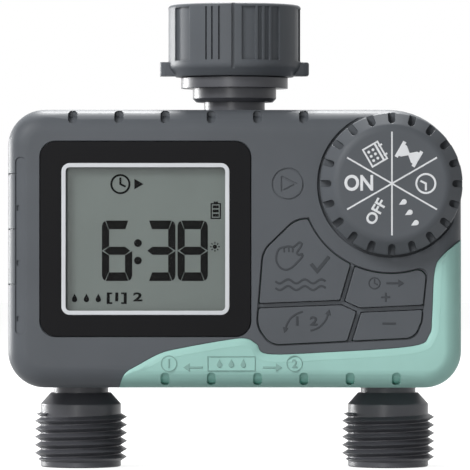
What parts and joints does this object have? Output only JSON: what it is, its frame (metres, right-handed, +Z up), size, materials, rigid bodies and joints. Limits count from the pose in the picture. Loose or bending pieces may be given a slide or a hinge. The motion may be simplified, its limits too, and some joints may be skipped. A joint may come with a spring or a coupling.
{
  "type": "drip irrigation timer",
  "caption": "Tap timer that waters two garden zones: swivel inlet nut, display, selector dial and keys on a housing, two threaded hose outlets below.",
  "frame": {"origin": "centre of the mouth of the swivel nut's thread, on the inlet axis", "axes": "+Z up along the inlet axis towards the tap, -Y out of the display face, +X to the right seen from the front"},
  "size_m": [0.1298, 0.065, 0.1343],
  "materials": {
    "case_plastic": "moulded, fine satin texture",
    "pipe_plastic": "moulded, satin",
    "trim_rubber": "soft-touch, satin",
    "black_border": "printed black",
    "clear_lens": "clear",
    "lcd_glass": "grey-green liquid crystal",
    "white_plastic": "moulded",
    "black_rubber": "moulded",
    "pink_rubber": "layered conductive rubber",
    "board": "green solder mask",
    "silicone": "moulded silicone",
    "steel": "plated",
    "brass_contact": "stamped",
    "copper_coil": "enamelled copper winding under tape",
    "filter_plastic": "moulded mesh",
    "cell_wrap": "plain wrapped cell"
  },
  "bodies": {
    "housing": {"front_shell": "case_plastic", "rear_shell": "case_plastic", "shell_gasket": "black_rubber", "corner_trim": "trim_rubber", "display_border": "black_border", "display_lens": "clear_lens", "lcd_panel": "lcd_glass", "lcd_holder": "white_plastic", "lcd_connectors": "pink_rubber", "circuit_board": "board", "keypad_membrane": "silicone", "swivel_spigot": "pipe_plastic", "spigot_seal": "black_rubber", "inlet_washer": "black_rubber", "inlet_filter": "filter_plastic", "water_manifold": "pipe_plastic", "left_outlet": "pipe_plastic", "right_outlet": "pipe_plastic", "outlet_seals": "black_rubber", "left_diaphragm": "black_rubber", "right_diaphragm": "black_rubber", "left_bonnet": "white_plastic", "right_bonnet": "white_plastic", "left_coil": "copper_coil", "right_coil": "copper_coil", "coil_yokes": "steel", "left_plunger_spring": "steel", "right_plunger_spring": "steel", "bonnet_screws": "steel", "battery_box": "pipe_plastic", "upper_cell": "cell_wrap", "lower_cell": "cell_wrap", "cell_springs": "steel", "cell_contacts": "steel", "door_pin": "steel", "case_screws": "steel", "board_screws": "steel"},
    "swivel_nut": {"swivel_nut": "case_plastic"},
    "dial": {"selector_dial": "case_plastic", "dial_seal": "black_rubber", "dial_clip": "steel", "dial_wiper": "white_plastic", "dial_contacts": "brass_contact"},
    "ok_button": {"ok_button": "case_plastic"},
    "delay_button": {"delay_button": "case_plastic"},
    "zone_button": {"zone_button": "case_plastic"},
    "minus_button": {"minus_button": "case_plastic"},
    "battery_door": {"battery_door": "case_plastic", "door_seal": "black_rubber"},
    "left_plunger": {"left_plunger": "steel"},
    "right_plunger": {"right_plunger": "steel"}
  },
  "joints": [
    {"name": "nut_swivel", "type": "hinge", "parent": "housing", "child": "swivel_nut", "pos_m": [0, 0, 0], "axis": [0, 0, 1], "continuous": true},
    {"name": "dial_turn", "type": "hinge", "parent": "housing", "child": "dial", "pos_m": [0.0446, -0.028, -0.05228], "axis": [0, 1, 0], "continuous": true},
    {"name": "ok_press", "type": "slide", "parent": "housing", "child": "ok_button", "axis": [0, 1, 0], "range_m": [0, 0.001], "stiffness_N_per_m": 400},
    {"name": "delay_press", "type": "slide", "parent": "housing", "child": "delay_button", "axis": [0, 1, 0], "range_m": [0, 0.001], "stiffness_N_per_m": 400},
    {"name": "zone_press", "type": "slide", "parent": "housing", "child": "zone_button", "axis": [0, 1, 0], "range_m": [0, 0.001], "stiffness_N_per_m": 400},
    {"name": "minus_press", "type": "slide", "parent": "housing", "child": "minus_button", "axis": [0, 1, 0], "range_m": [0, 0.001], "stiffness_N_per_m": 400},
    {"name": "door_hinge", "type": "hinge", "parent": "housing", "child": "battery_door", "pos_m": [0, 0.02685, -0.10038], "axis": [-1, 0, 0], "range_deg": [0, 100]},
    {"name": "left_plunger_lift", "type": "slide", "parent": "housing", "child": "left_plunger", "axis": [0, 1, 0], "range_m": [0, 0.002], "stiffness_N_per_m": 80, "deforming": ["left_plunger_spring"]},
    {"name": "right_plunger_lift", "type": "slide", "parent": "housing", "child": "right_plunger", "axis": [0, 1, 0], "range_m": [0, 0.002], "stiffness_N_per_m": 80, "deforming": ["right_plunger_spring"]}
  ]
}
